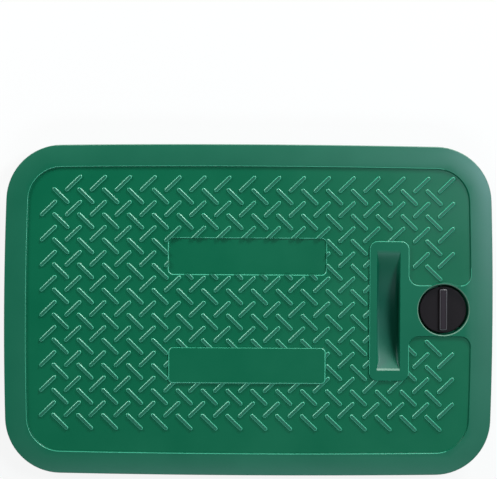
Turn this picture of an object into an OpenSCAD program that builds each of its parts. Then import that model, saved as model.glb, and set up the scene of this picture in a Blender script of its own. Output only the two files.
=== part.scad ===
// Valve box cover: a moulded lid with an anti-slip tread, a finger pocket
// and a quarter-turn lock. Seen from above, +X runs along the cover to the
// lock, +Y across it, and the skirt stands on the plane z = 0.

/* [Cover] */
// Length of the cover
cover_len = 490; // [484:1:500]
// Width of the cover
cover_wid = 332; // [328:1:340]
// Height from the foot of the skirt to the top of the rim
cover_high = 36; // [34:1:44]
// Radius of the four corners
corner_r = 56; // [50:1:60]
// How far the long sides bow outwards in the middle
bow_long = 1.5; // [0.5:0.1:2.5]
// How far the short sides bow outwards in the middle
bow_short = 1.7; // [0.5:0.1:2.5]
// Thickness of the flange that lies on the box's ledge
flange_thick = 8; // [6:0.5:9]
// Rounding of the flange's upper edge
edge_r = 2.5; // [1:0.1:4]
// Width of the smooth rim
rim_wid = 22.4; // [21:0.2:25]

/* [Deck and skirt] */
// Drop from the rim to the recessed field
step_high = 2; // [1.6:0.1:3]
// Thickness of the deck under the field
deck_thick = 5; // [4:0.5:6]
// Distance of the skirt from the edge of the cover
skirt_inset = 13; // [11:0.5:14]
// Thickness of the skirt at its foot
skirt_thick = 2.8; // [2.4:0.1:3.4]
// Slope of drafted walls, in degrees
draft = 1.2; // [0.5:0.1:2]
// Depth of the ribs below the deck
rib_deep = 10; // [6:0.5:12]
// Thickness of a rib
rib_thick = 2.6; // [2:0.1:3.4]
// Distance between ribs along the cover
rib_step_x = 46; // [44:1:48]
// Distance between ribs across the cover
rib_step_y = 44; // [40:1:46]

/* [Tread] */
// Distance between bars of one direction along the cover
pitch_x = 24.9; // [24.5:0.05:25.2]
// Distance between bars of one direction across the cover
pitch_y = 25.1; // [24.8:0.05:25.5]
// Overall length of a bar
bar_len = 23.5; // [20:0.5:25]
// Width of a bar at its foot
bar_foot = 4.8; // [4:0.1:5.6]
// Width of a bar's flat top
bar_top = 2.8; // [2:0.1:3.2]
// Height of a bar
bar_high = 1.5; // [1:0.1:1.6]
// Slant of a bar against the length of the cover, in degrees
bar_slant = 44; // [38:1:48]

/* [Plates and pocket] */
// Length of the two name plates
plate_len = 157.5; // [150:0.5:165]
// Width of the two name plates
plate_wid = 36; // [30:0.5:40]
// Corner radius of the name plates
plate_r = 4.5; // [3:0.5:8]
// Place of the sunk plate's middle across the cover
sunk_y = 53.5; // [50:0.1:56]
// Place of the raised plate's middle across the cover
raised_y = -55.8; // [-58:0.1:-52]
// Depth of the sunk plate below the field
sunk_deep = 1; // [0.6:0.1:1.4]
// Length of the finger pocket
pocket_len = 119.4; // [110:0.2:124]
// Width of the finger pocket
pocket_wid = 23; // [20:0.5:25]
// Depth of the finger pocket
pocket_deep = 22; // [18:0.5:24]
// Wall of the pocket's shell
pocket_wall = 3; // [2.4:0.1:4]
// Length of the frame around the pocket
frame_len = 139.7; // [132:0.1:144]
// Width of the frame around the pocket
frame_wid = 39.8; // [36:0.1:42]
// Corner radius of the frame
frame_r = 8; // [5:0.5:12]

/* [Lock] */
// Diameter of the lock's well
well_d = 50.6; // [50:0.2:54]
// Depth of the well below the rim
well_deep = 10; // [9:0.5:11]
// Diameter of the knob's disc
knob_d = 47; // [44:0.5:48]
// Diameter of the knob's stem
stem_d = 16; // [14:0.5:18]
// Width of the grip bar on its top
grip_wid = 7.2; // [6:0.2:9]
// Length of the grip bar
grip_len = 41.4; // [36:0.2:43]
// Reach of the cam from the middle of the lock
cam_reach = 44; // [40:0.5:45]
// Thickness of the cam
cam_thick = 5; // [4:0.5:6]

/* [Hidden] */
$fn = 96;
eps = 0.02;

green = [0.03, 0.38, 0.27];
black = [0.07, 0.07, 0.08];
zinc = [0.70, 0.71, 0.72];

half_len = cover_len / 2;
half_wid = cover_wid / 2;

// Heights
z_seat = cover_high - flange_thick;
z_field = cover_high - step_high;
z_deck = z_field - deck_thick;
z_rib = z_deck - rib_deep;
z_floor = cover_high - well_deep;

// The corner's centre. A side is one flat arc that meets the corner's arc at
// a tangent, so its radius follows from the bow.
corner_x = half_len - corner_r - bow_short;
corner_y = half_wid - corner_r - bow_long;
long_r = (pow(corner_x, 2) + pow(half_wid - corner_y, 2) - pow(corner_r, 2)) / (2 * bow_long);
short_r = (pow(corner_y, 2) + pow(half_len - corner_x, 2) - pow(corner_r, 2)) / (2 * bow_short);
long_a = asin(corner_x / (long_r - corner_r));
short_a = asin(corner_y / (short_r - corner_r));
side_steps = 6;
corner_steps = 12;

// Places, measured from the middle of the cover
frame_x = 141;
frame_y = -0.4;
pocket_x = 140.2;
pocket_y = 0.5;
plate_x = -1.1;
lock_x = 195.3;
lock_y = 1.2;
land_half = 25.5;
land_fillet = 10;
collar_r = well_d / 2 + 2;
well_bevel = 1.3;

// The finger pocket's floor is a cylinder that lies across the cover
pocket_r = (pow(pocket_len / 2, 2) + pow(pocket_deep, 2)) / (2 * pocket_deep);
pocket_axis_z = cover_high - pocket_deep + pocket_r;

// Tread lattice: the first bar of each direction, counted from the far left
fall_x = -188.1;
fall_y = 113.3;
fall_cols = 16;
rise_x = fall_x - pitch_x / 2;
rise_y = fall_y + pitch_y / 2;
rise_cols = 17;
tread_rows = 10;

// Half of a bar's reach along the cover, and the same across it
bar_reach = bar_len * cos(bar_slant) / 2;

// Rectangles without bars, as [middle x, middle y, length, width]: the two
// plates, the frame, the land with the bars that would straddle its border,
// and the strip beside the frame's upper half
bare = [
    [plate_x, sunk_y, plate_len, plate_wid],
    [plate_x, raised_y, plate_len, plate_wid],
    [frame_x, frame_y, frame_wid, frame_len],
    [(frame_x + half_len) / 2, 0, half_len - frame_x, 2 * land_half + 18],
    [frame_x + frame_wid / 2, 50.5, 24, 46]];

// Lock parts. The cam hangs below the seat by the ledge's thickness.
ledge_room = 7.4;
floor_thick = 4;
play = 0.3;
shaft_play = 0.05;
z_cam = z_seat - ledge_room;
hub_r = stem_d / 2 + 6;
drive = 11;
grip_foot = grip_wid + 1.4;
z_disc = cover_high - 4.6;
z_grip = cover_high - 0.6;
washer_d = 22;
washer_thick = 1.6;
screw_d = 4.8;
screw_len = 13;
head_d = 10;
head_thick = 3.4;
sweep_r = cam_reach + 4;
notch_low = -12.5;
notch_high = 33;

// Points of an arc of n steps round [x, y]
function arc(x, y, r, from, to, n) =
    [for (k = [0 : n]) let (a = from + (to - from) * k / n) [x + r * cos(a), y + r * sin(a)]];

// Points of a rectangle with rounded corners
function rounded(w, h, r, n = 8) = concat(
    arc(w / 2 - r, h / 2 - r, r, 0, 90, n),
    arc(-w / 2 + r, h / 2 - r, r, 90, 180, n),
    arc(-w / 2 + r, -h / 2 + r, r, 180, 270, n),
    arc(w / 2 - r, -h / 2 + r, r, 270, 360, n));

// Points of the cover's outline, moved in by inset, with straight sides
function outline(inset, n = 9) = concat(
    arc(corner_x, corner_y, corner_r - inset, 0, 90, n),
    arc(-corner_x, corner_y, corner_r - inset, 90, 180, n),
    arc(-corner_x, -corner_y, corner_r - inset, 180, 270, n),
    arc(corner_x, -corner_y, corner_r - inset, 270, 360, n));

// Points on an arc round [x, y] with the direction that points outwards,
// all but the last: [x, y, dx, dy]
function turn(x, y, r, from, to, n) =
    [for (k = [0 : n - 1]) let (a = from + (to - from) * k / n)
        [x + r * cos(a), y + r * sin(a), cos(a), sin(a)]];

// The edge of the cover, anticlockwise from the lower right corner
function edge_path() = concat(
    turn(half_len - short_r, 0, short_r, -short_a, short_a, side_steps),
    turn(corner_x, corner_y, corner_r, short_a, 90 - long_a, corner_steps),
    turn(0, half_wid - long_r, long_r, 90 - long_a, 90 + long_a, side_steps),
    turn(-corner_x, corner_y, corner_r, 90 + long_a, 180 - short_a, corner_steps),
    turn(short_r - half_len, 0, short_r, 180 - short_a, 180 + short_a, side_steps),
    turn(-corner_x, -corner_y, corner_r, 180 + short_a, 270 - long_a, corner_steps),
    turn(0, long_r - half_wid, long_r, 270 - long_a, 270 + long_a, side_steps),
    turn(corner_x, -corner_y, corner_r, 270 + long_a, 360 - short_a, corner_steps));

// Section of the rim, the flange and the drafted skirt in one piece. Its x is
// the distance outwards from the edge of the cover, and its y is the height.
function rim_section() =
    let (lean = tan(draft),
        wall_top = cover_high - edge_r,
        lip = lean * (wall_top - z_seat),
        foot_out = -skirt_inset - lean * z_seat,
        foot_in = foot_out - skirt_thick,
        top_in = foot_in - lean * z_seat)
    concat(
        [[0, z_seat]],
        arc(-lip - edge_r, wall_top, edge_r, 0, 90, 5),
        [[-rim_wid + 0.6, cover_high],
         [-rim_wid, cover_high - 0.5],
         [-rim_wid - 0.5, z_field - eps],
         [-rim_wid - 0.5, z_deck + 1],
         [top_in - 2, z_seat],
         [top_in, z_seat],
         [foot_in, 0],
         [foot_out, 0],
         [-skirt_inset, z_seat]]);

// The section carried round the edge of the cover as one closed surface
module rim() {
    path = edge_path();
    section = rim_section();
    n = len(path);
    m = len(section);
    polyhedron(
        points = [for (p = path, s = section) [p[0] + p[2] * s[0], p[1] + p[3] * s[0], s[1]]],
        faces = [for (i = [0 : n - 1], j = [0 : m - 1])
            let (here = i * m, next = (i + 1) % n * m, up = (j + 1) % m)
            [here + j, here + up, next + up, next + j]]);
}

// Flat deck. Its own edge lies hidden inside the rim.
module deck() {
    translate([0, 0, z_deck])
        linear_extrude(deck_thick)
            polygon(outline(rim_wid / 2));
}

// One tread bar: a low ridge with drafted sides and rounded ends, from a
// little below the field up to its flat top
module bar() {
    sunk = 0.3;
    grow = (bar_foot - bar_top) / 2 / bar_high;
    tip = bar_len / 2 - bar_foot / 2;
    ring = function(r, z) [for (side = [0, 180], a = [-90, -30, 30, 90])
        [(side == 0 ? tip : -tip) + r * cos(a + side), r * sin(a + side), z]];
    low = ring(bar_foot / 2 + sunk * grow, -sunk);
    high = ring(bar_top / 2, bar_high);
    n = len(low);
    polyhedron(
        points = concat(low, high),
        faces = concat(
            [[for (k = [0 : n - 1]) k]],
            [[for (k = [n - 1 : -1 : 0]) n + k]],
            [for (k = [0 : n - 1]) [k, n + k, n + (k + 1) % n, (k + 1) % n]]));
}

// True where a bar would lie wholly inside one of the bare rectangles
function is_hidden(x, y) =
    len([for (b = bare)
        if (abs(x - b[0]) < b[2] / 2 - bar_reach && abs(y - b[1]) < b[3] / 2 - bar_reach) b]) > 0;

// Bars of one direction on a lattice that starts at the upper left
module bar_rows(x0, y0, cols, slant, skip_first) {
    for (row = [0 : tread_rows - 1], col = [0 : cols - 1]) {
        x = x0 + col * pitch_x;
        y = y0 - row * pitch_y;
        corner = skip_first && row == 0 && col == 0;
        if (!corner && !is_hidden(x, y))
            translate([x, y, z_field]) rotate(slant) bar();
    }
}

module tread() {
    bar_rows(fall_x, fall_y, fall_cols, -bar_slant, false);
    bar_rows(rise_x, rise_y, rise_cols, bar_slant, true);
}

// A pad that stands on the field up to the level of the rim
module pad(x, y, points) {
    translate([x, y, z_field - 1])
        linear_extrude(step_high + 1)
            polygon(points);
}

// Land around the lock: a band from the pocket's frame to the rim, with
// hollow corners, and the well's collar
module lock_land() {
    left = frame_x + frame_wid / 2;
    right = half_len - rim_wid;
    f = land_fillet;
    top = land_half + f;
    steps = 6;
    pad(0, 0, concat(
        [[right + 2, -top]],
        [[right + 2, top]],
        arc(right - f, top, f, 0, -90, steps),
        arc(left + f, top, f, 270, 180, steps),
        [[left - 2, top]],
        [[left - 2, -top]],
        arc(left + f, -top, f, 180, 90, steps),
        arc(right - f, -top, f, 90, 0, steps)));
    translate([lock_x, lock_y, z_field - 1])
        cylinder(r = collar_r, h = step_high + 1);
}

// Space of the finger pocket, grown by wall for its shell
module pocket_space(wall, z_top) {
    intersection() {
        translate([pocket_x, pocket_y, pocket_axis_z])
            rotate([0, 90, 0])
                cylinder(r = pocket_r + wall, h = pocket_wid + 2 * wall, center = true, $fn = 180);
        translate([pocket_x - pocket_wid, pocket_y - pocket_len, 0])
            cube([2 * pocket_wid, 2 * pocket_len, z_top]);
    }
}

// Shallow grid of ribs under the deck, cleared where the cam sweeps
module ribs() {
    cols = floor((half_len - skirt_inset) / rib_step_x);
    rows = floor((half_wid - skirt_inset) / rib_step_y);
    span = cover_len + cover_wid;
    difference() {
        intersection() {
            union() {
                for (k = [-cols : cols])
                    translate([k * rib_step_x - rib_thick / 2, -span / 2, z_rib])
                        cube([rib_thick, span, rib_deep + 1]);
                for (k = [-rows : rows])
                    translate([-span / 2, k * rib_step_y - rib_thick / 2, z_rib])
                        cube([span, rib_thick, rib_deep + 1]);
            }
            translate([0, 0, z_rib - 1])
                linear_extrude(rib_deep + 3)
                    polygon(outline(skirt_inset + 1.8));
        }
        translate([lock_x, lock_y, z_rib - 2])
            cylinder(r = sweep_r, h = rib_deep + 1);
    }
}

// Wall and floor of the lock's well below the deck, and the stem's bearing
module lock_hub() {
    translate([lock_x, lock_y, z_floor - floor_thick])
        cylinder(r = well_d / 2 + 3, h = floor_thick + 4);
    translate([lock_x, lock_y, z_cam + play])
        cylinder(r = hub_r, h = floor_thick + 2);
}

// Two small ribs that stop the cam at the ends of its quarter turn
module cam_stops() {
    near = 23.5;
    side = 10.6;
    thick = 3;
    long = 5;
    low = z_cam - cam_thick;
    high = z_deck + 1 - low;
    translate([lock_x + near, lock_y - side - thick, low])
        cube([long, thick, high]);
    translate([lock_x - side - thick, lock_y + near + 1, low])
        cube([thick, long, high]);
}

// Two fixed tongues at the far end, which hook below the box's ledge
module tongues() {
    reach = 9.5;
    wide = 34;
    root = -half_len + skirt_inset + 2;
    for (side = [-1, 1])
        translate([root, side * 62 + wide / 2, 0])
            rotate([90, 0, 0])
                linear_extrude(wide)
                    polygon([
                        [0, z_cam],
                        [-reach - 1, z_cam],
                        [-reach - 2, z_cam - 1],
                        [-reach - 2, z_cam - 3],
                        [-3, z_cam - cam_thick - 4],
                        [0, z_cam - cam_thick - 4]]);
}

module lid() {
    color(green)
    difference() {
        union() {
            rim();
            deck();
            tread();
            pad(plate_x, raised_y, rounded(plate_len, plate_wid, plate_r));
            pad(frame_x, frame_y, rounded(frame_wid, frame_len, frame_r));
            lock_land();
            ribs();
            pocket_space(pocket_wall, z_deck + 1);
            lock_hub();
            cam_stops();
            tongues();
        }
        translate([plate_x, sunk_y, z_field - sunk_deep])
            linear_extrude(step_high + sunk_deep + 1)
                polygon(rounded(plate_len, plate_wid, plate_r));
        pocket_space(0, cover_high + 1);
        translate([lock_x, lock_y, z_floor])
            cylinder(d = well_d, h = well_deep + 1);
        translate([lock_x, lock_y, cover_high - well_bevel])
            cylinder(r1 = well_d / 2, r2 = well_d / 2 + well_bevel + eps, h = well_bevel + eps);
        translate([lock_x, lock_y, -1])
            cylinder(r = stem_d / 2 + shaft_play, h = cover_high);
        translate([half_len - skirt_inset - 8, lock_y + notch_low, -1])
            cube([12, notch_high - notch_low, z_cam + 3]);
    }
}

// Disc with a raised grip bar, a round stem and a square end for the cam
module lock_knob() {
    disc_low = z_floor + play;
    bevel = 0.8;
    color(black)
    translate([lock_x, lock_y, 0])
    difference() {
        union() {
            translate([0, 0, disc_low])
                cylinder(d = knob_d, h = z_disc - bevel - disc_low);
            translate([0, 0, z_disc - bevel])
                cylinder(d1 = knob_d, d2 = knob_d - 2 * bevel, h = bevel);
            intersection() {
                rotate([90, 0, 0])
                    linear_extrude(knob_d, center = true)
                        polygon([
                            [-grip_foot / 2, z_disc - 1],
                            [grip_foot / 2, z_disc - 1],
                            [grip_foot / 2, z_disc],
                            [grip_wid / 2, z_grip],
                            [-grip_wid / 2, z_grip],
                            [-grip_foot / 2, z_disc]]);
                translate([0, 0, z_disc - 2])
                    cylinder(d = grip_len, h = z_grip - z_disc + 3);
            }
            translate([0, 0, z_cam])
                cylinder(d = stem_d, h = disc_low - z_cam + 1);
            translate([-drive / 2, -drive / 2, z_cam - cam_thick + 0.1])
                cube([drive, drive, cam_thick + 1]);
        }
        translate([0, 0, z_cam - cam_thick - 1])
            cylinder(d = screw_d + 0.1, h = screw_len + 2);
    }
}

// Tongue that turns below the box's ledge, thinned at its leading edge
module lock_cam() {
    tip_r = 8;
    eye_r = 13;
    color(black)
    translate([lock_x, lock_y, z_cam - cam_thick])
    difference() {
        linear_extrude(cam_thick)
            hull() {
                circle(r = eye_r, $fn = 48);
                translate([cam_reach - tip_r, 0]) circle(r = tip_r, $fn = 32);
            }
        translate([0, 0, cam_thick / 2])
            cube([drive + 0.2, drive + 0.2, cam_thick + 1], center = true);
    }
}

module cam_washer() {
    color(zinc)
    translate([lock_x, lock_y, z_cam - cam_thick - washer_thick])
    difference() {
        cylinder(d = washer_d, h = washer_thick);
        translate([0, 0, -1]) cylinder(d = screw_d + 0.5, h = washer_thick + 2);
    }
}

// Pan head screw with a cross recess, its shank in the stem's pilot hole
module cam_screw() {
    z_head = z_cam - cam_thick - washer_thick;
    slot_wid = 1.4;
    slot_len = 5.6;
    slot_deep = 1.8;
    color(zinc)
    translate([lock_x, lock_y, z_head])
    difference() {
        union() {
            translate([0, 0, -head_thick + 1])
                cylinder(d = head_d, h = head_thick - 1);
            translate([0, 0, -head_thick])
                cylinder(d1 = head_d - 2.4, d2 = head_d, h = 1);
            cylinder(d = screw_d, h = screw_len - 2);
            translate([0, 0, screw_len - 2])
                cylinder(d1 = screw_d, d2 = 1.6, h = 2);
        }
        for (turn = [0, 90])
            rotate(turn)
                translate([0, 0, -head_thick])
                    cube([slot_len, slot_wid, 2 * slot_deep], center = true);
    }
}

lid();
lock_knob();
lock_cam();
cam_washer();
cam_screw();
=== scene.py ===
# %% [markdown]
# # A moulded valve box cover
#
# The real object is a green polyethylene cover that lies over a buried valve box. One
# moulding has a smooth rim, a sunk field of crossed anti-slip bars, a finger pocket, two bare
# name plates and the well of a quarter-turn lock. A black knob turns in that well.
#
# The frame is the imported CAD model. It fixes every size and place. This script dresses it:
# the lid and the knob become surfaces with the small roundings that catch the light, because
# a moulded edge is never sharp, and most of what a photograph shows of such a cover is the
# light on its edges.

# %% Load the frame
import math

import bmesh
import bpy
import numpy as np
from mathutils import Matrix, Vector
from mathutils.geometry import tessellate_polygon


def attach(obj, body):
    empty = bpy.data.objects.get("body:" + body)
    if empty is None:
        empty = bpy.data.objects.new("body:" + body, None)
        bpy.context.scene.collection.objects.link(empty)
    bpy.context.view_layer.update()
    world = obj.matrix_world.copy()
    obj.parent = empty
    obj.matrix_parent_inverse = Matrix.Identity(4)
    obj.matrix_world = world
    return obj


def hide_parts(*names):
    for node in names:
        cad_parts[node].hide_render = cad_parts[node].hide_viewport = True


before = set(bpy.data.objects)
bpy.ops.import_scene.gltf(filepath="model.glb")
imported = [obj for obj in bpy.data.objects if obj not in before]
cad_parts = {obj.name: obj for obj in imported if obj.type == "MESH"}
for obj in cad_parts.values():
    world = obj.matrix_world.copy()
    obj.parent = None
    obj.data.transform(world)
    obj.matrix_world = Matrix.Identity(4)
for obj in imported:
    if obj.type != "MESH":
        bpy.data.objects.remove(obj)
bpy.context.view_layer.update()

# %% [markdown]
# ## Three tools for moulded shapes
#
# Everything on the lid is one of two things: a section that is carried along a path, such as
# the rim, or a flat between such sections. Blender's own way would be to extrude and bevel by
# hand. Here the points are worked out as whole arrays, which keeps every rounding at its
# true radius and lets the flats meet the sections without a gap.
#
# The three tools are paths, sections, and a surface that collects both. All lengths below are
# in millimetres, and `add_piece` turns them into metres.

# %% Paths: arcs with the direction that points outwards
def bend(x, y, r, start, stop, steps):
    """Arc of steps + 1 points: centre plus r times (cos a, sin a), with a from start to stop in
    degrees. A row is x, y and the unit direction to the right of travel, which is away from the
    centre on a left-hand turn and towards it on a right-hand one."""
    a = np.radians(np.linspace(start, stop, steps + 1))
    side = 1.0 if stop >= start else -1.0
    c, s = np.cos(a), np.sin(a)
    return np.column_stack([x + r * c, y + r * s, side * c, side * s])


def join(*parts, same=1e-4):
    """Arcs one after the other, without the points that repeat the one before."""
    rows = np.concatenate(parts)
    gap = np.hypot(*(rows - np.roll(rows, 1, axis=0))[:, :2].T)
    return rows[gap > same]


def offset(path, d):
    """The path's points moved by d along their directions."""
    return path[:, :2] + d * path[:, 2:]


def rounded_box(x, y, w, h, r, steps=6):
    """Anticlockwise path round a rectangle w by h with corners of radius r."""
    cx, cy = w / 2 - r, h / 2 - r
    return join(bend(x + cx, y - cy, r, -90, 0, steps), bend(x + cx, y + cy, r, 0, 90, steps),
                bend(x - cx, y + cy, r, 90, 180, steps), bend(x - cx, y - cy, r, 180, 270, steps))


def circle(x, y, steps=96):
    """All points are the centre itself, and the directions go round, so that a section's
    distance is the radius."""
    return bend(x, y, 0.0, 0, 360, steps)[:-1]


print("a rounded box has", len(rounded_box(0, 0, 9, 9, 1)), "points, a circle", len(circle(0, 0)))


# %% Sections: a line of corners, each rounded to its own radius
def soften(corners, steps=4, straight=1.57):
    """corners holds rows (d, z, r). A corner between two straight legs becomes an arc of radius
    r that touches both: its centre lies r / sin(half angle) from the corner on the bisector.
    A corner stays as it is where r is 0 or its half angle is past straight, in radians."""
    c = np.array(corners, float)
    out = [c[0, :2]]
    for before, here, after in zip(c[:-2], c[1:-1], c[2:]):
        p, r = here[:2], here[2]
        u, v = before[:2] - p, after[:2] - p
        u, v = u / np.linalg.norm(u), v / np.linalg.norm(v)
        half = 0.5 * math.acos(float(np.clip(u @ v, -1, 1)))
        if r <= 0 or half > straight:
            out.append(p)
            continue
        middle = p + (u + v) / np.linalg.norm(u + v) * r / math.sin(half)
        reach = r / math.tan(half)
        a0 = math.atan2(*(p + u * reach - middle)[::-1])
        a1 = math.atan2(*(p + v * reach - middle)[::-1])
        turn = (a1 - a0 + math.pi) % (2 * math.pi) - math.pi
        a = a0 + turn * np.linspace(0, 1, steps + 1)
        out.extend(middle + r * np.column_stack([np.cos(a), np.sin(a)]))
    out.append(c[-1, :2])
    return np.array(out)


print("one softened corner", soften([(0, 0, 0), (1, 0, 0.2), (1, 1, 0)]).round(2).tolist())


# %% Surfaces: a section carried along a path, and flats with holes
class Surface:
    """Collects points and faces of one piece, in millimetres, with a finish number per face."""

    def __init__(self):
        self.points, self.faces, self.finish, self.count = [], [], [], 0

    def add(self, points, faces, finish):
        """Takes new points, and faces that count them from 0. finish is one number or one a
        face."""
        self.points.append(points)
        self.faces.extend((np.asarray(f) + self.count).tolist() for f in faces)
        self.finish.extend(np.broadcast_to(finish, len(faces)).tolist())
        self.count += len(points)

    def grid(self, points, finish, closed=False):
        """points has the shape (n, m, 3), and quads join neighbours. Where the first parameter
        runs along a path and the solid is left of the second, the quads face outwards. finish
        is one number, one per leg of the section, or one per quad."""
        n, m = points.shape[:2]
        i = np.arange(n if closed else n - 1)[:, None]
        j = np.arange(m - 1)[None, :]
        k = (i + 1) % n
        quads = np.stack([i * m + j, k * m + j, k * m + j + 1, i * m + j + 1], axis=-1)
        finish = np.broadcast_to(finish, quads.shape[:2]).ravel()
        self.add(points.reshape(-1, 3), quads.reshape(-1, 4), finish)

    def carry(self, path, section, finish, closed=True):
        """Point (i, j) is path point i moved section distance j along its direction, at section
        height j. The section is walked with the solid on its left."""
        d, z = section[:, 0], section[:, 1]
        xy = path[:, None, :2] + path[:, None, 2:] * d[None, :, None]
        height = np.broadcast_to(z[None, :, None], xy.shape[:2] + (1,))
        self.grid(np.concatenate([xy, height], axis=2), finish, closed)

    def flat(self, loops, z, finish, up=True):
        """Fills the first loop less the others with triangles, all at height z. Twice a
        triangle's area has the sign of its turn, and those that turn the wrong way are turned
        round."""
        flat_points = np.concatenate(loops)
        tris = np.array(tessellate_polygon([[Vector((x, y, 0)) for x, y in lp] for lp in loops]))
        a, b, c = (flat_points[tris[:, k]] for k in range(3))
        area = (b - a)[:, 0] * (c - a)[:, 1] - (b - a)[:, 1] * (c - a)[:, 0]
        wrong = area < 0 if up else area > 0
        tris[wrong] = tris[wrong][:, ::-1]
        height = np.full((len(flat_points), 1), float(z))
        self.add(np.hstack([flat_points, height]), tris, finish)

    def run(self, start, end, section, finish, slant=(0.0, 0.0)):
        """A closed section carried straight from start to end. Its distance is to the right of
        travel. slant says how much further the top reaches than the foot at either end."""
        a, b = np.array(start, float), np.array(end, float)
        u = (b - a) / np.linalg.norm(b - a)
        right = np.array([u[1], -u[0]])
        d, z = section[:, 0], section[:, 1]
        share = ((z - z.min()) / (z.max() - z.min()))[:, None]
        rows = [a + right * d[:, None] - u * slant[0] * share,
                b + right * d[:, None] + u * slant[1] * share]
        m = len(d)
        points = np.concatenate([np.hstack([r, z[:, None]]) for r in rows])
        j = np.arange(m)
        k = (j + 1) % m
        sides = np.stack([j, m + j, m + k, k], axis=-1).tolist()
        self.add(points, sides + [list(range(m)), list(range(2 * m - 1, m - 1, -1))], finish)


lid = Surface()
print("the lid starts with", lid.count, "points")

# %% [markdown]
# ## From a surface to a piece
#
# The points become a mesh in metres, the seams between sections and flats are joined, and
# edges that turn by more than 40 degrees stay sharp. Smooth shading alone would spoil the
# flats: a corner that a wide flat shares with a narrow rounding gets a normal between the
# two, and a streak of light then runs far into the flat. So each corner at a level face
# takes that face's normal. A Weighted Normal modifier aims at the same, but here it is plain
# which face has to win.

# %% Normals, seams and sharp edges
METRES = 0.001  # in a millimetre
SEAM, CRUMB = 2e-7, 1e-8  # metres: points closer than this are one, shorter edges go


def level_normals(mesh, level=0.99999, near=0.75):
    """Every smooth corner that meets a level face gets that face's normal. A flat then shades
    evenly up to its edge, and each rounding starts level. A zero leaves a corner as it is.
    level and near are the upright parts of a normal from which a face counts as level and a
    corner as close to it."""
    spot = np.empty(len(mesh.loops), int)
    mesh.loops.foreach_get("vertex_index", spot)
    corner = np.empty((len(spot), 3))
    mesh.corner_normals.foreach_get("vector", corner.ravel())
    size, face = np.empty(len(mesh.polygons), int), np.empty((len(mesh.polygons), 3))
    mesh.polygons.foreach_get("loop_total", size)
    mesh.polygons.foreach_get("normal", face.ravel())
    upright = np.repeat(face[:, 2], size)
    wanted = np.zeros_like(corner)
    for way in (1.0, -1.0):
        on_level = np.zeros(len(mesh.vertices), bool)
        on_level[spot[upright * way > level]] = True
        wanted[on_level[spot] & (corner[:, 2] * way > near), 2] = way
    mesh.normals_split_custom_set(wanted.tolist())


def add_piece(name, surface, finishes, body, slot, *nodes, angle=40):
    """Makes the mesh in metres, joins the seams, and marks edges above angle as sharp."""
    mesh = bpy.data.meshes.new(name)
    mesh.from_pydata(np.concatenate(surface.points) * METRES, [], surface.faces)
    mesh.polygons.foreach_set("material_index", surface.finish)
    for finish in finishes:
        mesh.materials.append(finish)
    work = bmesh.new()
    work.from_mesh(mesh)
    bmesh.ops.remove_doubles(work, verts=work.verts, dist=SEAM)
    bmesh.ops.dissolve_degenerate(work, edges=work.edges, dist=CRUMB)
    work.to_mesh(mesh)
    work.free()
    mesh.polygons.foreach_set("use_smooth", np.ones(len(mesh.polygons), bool))
    mesh.set_sharp_from_angle(angle=math.radians(angle))
    level_normals(mesh)
    piece = bpy.data.objects.new(name, mesh)
    bpy.context.scene.collection.objects.link(piece)
    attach(piece, body)
    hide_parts(*nodes)
    print(name, len(mesh.vertices), "points", len(mesh.polygons), "faces")


print("seams are joined within", round(SEAM / METRES, 6), "mm")

# %% [markdown]
# ## Finishes
#
# The cover is polyethylene: a deep green that looks almost black-green where nothing is
# mirrored in it, and paler where it hazes the light. The haze is a little blue, which the
# shader's specular tint gives. The tread field came from a polished part of the mould and the
# rim from an etched one, so the two differ in roughness and in how much they haze.
#
# Use adds the rest, and some of it is painted light. Bar tops are walked dull and the rim is rubbed
# shinier towards the outline. Rounded edges get a pale mint colour and a few others a grey-green
# one: both are painted highlights that stand in for the light on them. The pocket's colour darkens
# with depth, a painted shade, since little light comes back from its floor.
#
# One material with a picture could do it, but several with noise keep the grain at its true
# size at any distance. The grain is a bump from fine noise, and a slow noise varies colour
# and roughness a little, as real regrind plastic does.

# %% Helpers for nodes
def ramp(mat, value, start, stop, low=0.0, high=1.0):
    """Value from low to high while the input goes from start to stop, and level beyond."""
    node = mat.node_tree.nodes.new("ShaderNodeMapRange")
    mat.node_tree.links.new(value, node.inputs["Value"])
    for key, number in (("From Min", start), ("From Max", stop), ("To Min", low), ("To Max", high)):
        node.inputs[key].default_value = number
    return node.outputs["Result"]


def arithmetic(mat, kind, *values):
    """Output of one Math node."""
    node = mat.node_tree.nodes.new("ShaderNodeMath")
    node.operation = kind
    for socket, value in zip(node.inputs, values):
        mat.node_tree.links.new(value, socket)
    return node.outputs[0]


def mixed(mat, share, low, high):
    """Colour from low to high by share. Each is a colour or another node's output."""
    node = mat.node_tree.nodes.new("ShaderNodeMix")
    node.data_type = "RGBA"
    mat.node_tree.links.new(share, node.inputs[0])
    for socket, colour in ((node.inputs[6], low), (node.inputs[7], high)):
        if isinstance(colour, tuple):
            socket.default_value = (*colour, 1.0)
        else:
            mat.node_tree.links.new(colour, socket)
    return node.outputs[2]


def noise(mat, place, scale, detail):
    """Noise with scale swells a metre. Detail is how many finer layers are laid over it."""
    node = mat.node_tree.nodes.new("ShaderNodeTexNoise")
    node.inputs["Scale"].default_value = scale
    node.inputs["Detail"].default_value = detail
    mat.node_tree.links.new(place, node.inputs["Vector"])
    return node.outputs["Fac"]


print("node helpers", [f.__name__ for f in (ramp, arithmetic, mixed, noise)])

# %% Moulded plastics
SWIRL = 22.0  # slow noise, swells a metre
SMOOTHER, ROUGHER = 0.05, 0.07
RUBBED_X, RUBBED_Y, RUBBED_SUM = (0.216, 0.224), (0.139, 0.147), (0.336, 0.350)  # metres
# The second pair of heights is where the pocket's painted shade fades from full to none.
DIM_SHINE, PAINTED_SHADE_Z = (0.016, 0.034), (0.014, 0.036)  # metres above the skirt's foot


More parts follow.
